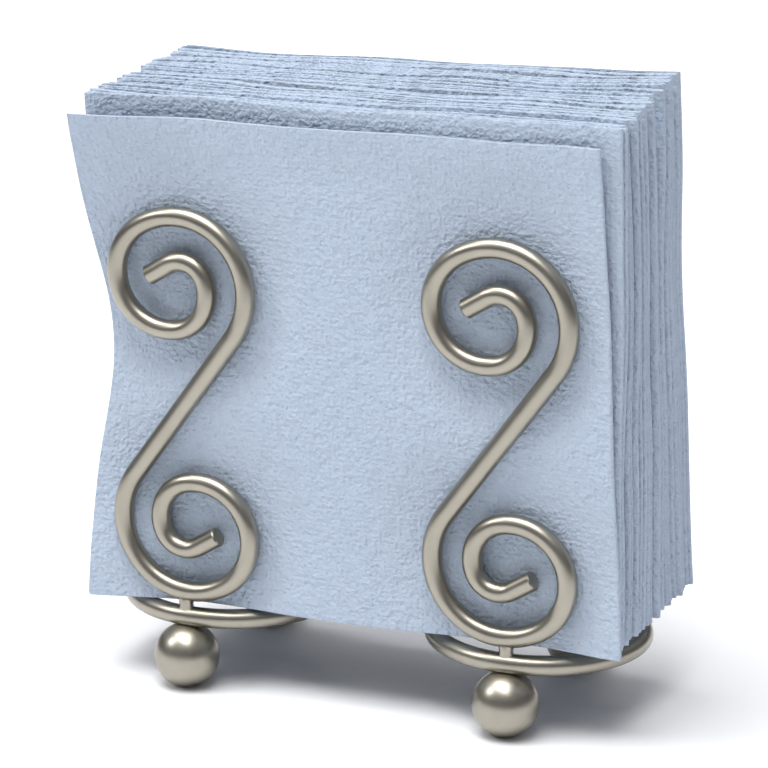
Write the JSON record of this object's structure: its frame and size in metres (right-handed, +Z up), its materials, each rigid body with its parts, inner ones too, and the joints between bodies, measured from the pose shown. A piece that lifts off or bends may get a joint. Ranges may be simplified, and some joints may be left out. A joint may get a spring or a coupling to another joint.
{
  "type": "napkin dispenser",
  "caption": "Bent-wire napkin holder with S-scrolls on ring bases and ball feet, holding folded paper napkins upright between front and back scrolls.",
  "frame": {"origin": "on the table, under the middle of the napkin stack, where the two rings' centre line crosses the middle plane", "axes": "+Z up, the front scrolls stand on the -Y side, +X to the right of a person facing the front; +Y runs through the stack from front to back"},
  "size_m": [0.1784, 0.087, 0.1878],
  "materials": {
    "satin_nickel": "satin nickel plate on steel wire",
    "napkin_paper": "soft embossed tissue paper, matte"
  },
  "bodies": {
    "holder": {"scroll_front_left": "satin_nickel", "scroll_front_right": "satin_nickel", "scroll_back_left": "satin_nickel", "scroll_back_right": "satin_nickel", "base_ring_left": "satin_nickel", "base_ring_right": "satin_nickel", "cross_rod_front": "satin_nickel", "cross_rod_back": "satin_nickel", "post_front_left": "satin_nickel", "post_front_right": "satin_nickel", "post_back_left": "satin_nickel", "post_back_right": "satin_nickel", "ball_foot_front_left": "satin_nickel", "ball_foot_front_right": "satin_nickel", "ball_foot_back_left": "satin_nickel", "ball_foot_back_right": "satin_nickel"},
    "napkin_01": {"napkin_01": "napkin_paper"},
    "napkin_02": {"napkin_02": "napkin_paper"},
    "napkin_03": {"napkin_03": "napkin_paper"},
    "napkin_04": {"napkin_04": "napkin_paper"},
    "napkin_05": {"napkin_05": "napkin_paper"},
    "napkin_06": {"napkin_06": "napkin_paper"},
    "napkin_07": {"napkin_07": "napkin_paper"},
    "napkin_08": {"napkin_08": "napkin_paper"},
    "napkin_09": {"napkin_09": "napkin_paper"},
    "napkin_10": {"napkin_10": "napkin_paper"},
    "napkin_11": {"napkin_11": "napkin_paper"},
    "napkin_12": {"napkin_12": "napkin_paper"},
    "napkin_13": {"napkin_13": "napkin_paper"},
    "napkin_14": {"napkin_14": "napkin_paper"},
    "napkin_15": {"napkin_15": "napkin_paper"},
    "napkin_16": {"napkin_16": "napkin_paper"},
    "napkin_17": {"napkin_17": "napkin_paper"},
    "napkin_18": {"napkin_18": "napkin_paper"},
    "napkin_19": {"napkin_19": "napkin_paper"},
    "napkin_20": {"napkin_20": "napkin_paper"},
    "napkin_21": {"napkin_21": "napkin_paper"},
    "napkin_22": {"napkin_22": "napkin_paper"},
    "napkin_23": {"napkin_23": "napkin_paper"},
    "napkin_24": {"napkin_24": "napkin_paper"}
  },
  "joints": [
    {"name": "napkin_01_lift", "type": "slide", "parent": "holder", "child": "napkin_01", "axis": [0, 0, 1], "range_m": [0, 0.175]},
    {"name": "napkin_02_lift", "type": "slide", "parent": "holder", "child": "napkin_02", "axis": [0, 0, 1], "range_m": [0, 0.175]},
    {"name": "napkin_03_lift", "type": "slide", "parent": "holder", "child": "napkin_03", "axis": [0, 0, 1], "range_m": [0, 0.175]},
    {"name": "napkin_04_lift", "type": "slide", "parent": "holder", "child": "napkin_04", "axis": [0, 0, 1], "range_m": [0, 0.175]},
    {"name": "napkin_05_lift", "type": "slide", "parent": "holder", "child": "napkin_05", "axis": [0, 0, 1], "range_m": [0, 0.175]},
    {"name": "napkin_06_lift", "type": "slide", "parent": "holder", "child": "napkin_06", "axis": [0, 0, 1], "range_m": [0, 0.175]},
    {"name": "napkin_07_lift", "type": "slide", "parent": "holder", "child": "napkin_07", "axis": [0, 0, 1], "range_m": [0, 0.175]},
    {"name": "napkin_08_lift", "type": "slide", "parent": "holder", "child": "napkin_08", "axis": [0, 0, 1], "range_m": [0, 0.175]},
    {"name": "napkin_09_lift", "type": "slide", "parent": "holder", "child": "napkin_09", "axis": [0, 0, 1], "range_m": [0, 0.175]},
    {"name": "napkin_10_lift", "type": "slide", "parent": "holder", "child": "napkin_10", "axis": [0, 0, 1], "range_m": [0, 0.175]},
    {"name": "napkin_11_lift", "type": "slide", "parent": "holder", "child": "napkin_11", "axis": [0, 0, 1], "range_m": [0, 0.175]},
    {"name": "napkin_12_lift", "type": "slide", "parent": "holder", "child": "napkin_12", "axis": [0, 0, 1], "range_m": [0, 0.175]},
    {"name": "napkin_13_lift", "type": "slide", "parent": "holder", "child": "napkin_13", "axis": [0, 0, 1], "range_m": [0, 0.175]},
    {"name": "napkin_14_lift", "type": "slide", "parent": "holder", "child": "napkin_14", "axis": [0, 0, 1], "range_m": [0, 0.175]},
    {"name": "napkin_15_lift", "type": "slide", "parent": "holder", "child": "napkin_15", "axis": [0, 0, 1], "range_m": [0, 0.175]},
    {"name": "napkin_16_lift", "type": "slide", "parent": "holder", "child": "napkin_16", "axis": [0, 0, 1], "range_m": [0, 0.175]},
    {"name": "napkin_17_lift", "type": "slide", "parent": "holder", "child": "napkin_17", "axis": [0, 0, 1], "range_m": [0, 0.175]},
    {"name": "napkin_18_lift", "type": "slide", "parent": "holder", "child": "napkin_18", "axis": [0, 0, 1], "range_m": [0, 0.175]},
    {"name": "napkin_19_lift", "type": "slide", "parent": "holder", "child": "napkin_19", "axis": [0, 0, 1], "range_m": [0, 0.175]},
    {"name": "napkin_20_lift", "type": "slide", "parent": "holder", "child": "napkin_20", "axis": [0, 0, 1], "range_m": [0, 0.175]},
    {"name": "napkin_21_lift", "type": "slide", "parent": "holder", "child": "napkin_21", "axis": [0, 0, 1], "range_m": [0, 0.175]},
    {"name": "napkin_22_lift", "type": "slide", "parent": "holder", "child": "napkin_22", "axis": [0, 0, 1], "range_m": [0, 0.175]},
    {"name": "napkin_23_lift", "type": "slide", "parent": "holder", "child": "napkin_23", "axis": [0, 0, 1], "range_m": [0, 0.175]},
    {"name": "napkin_24_lift", "type": "slide", "parent": "holder", "child": "napkin_24", "axis": [0, 0, 1], "range_m": [0, 0.175]}
  ]
}
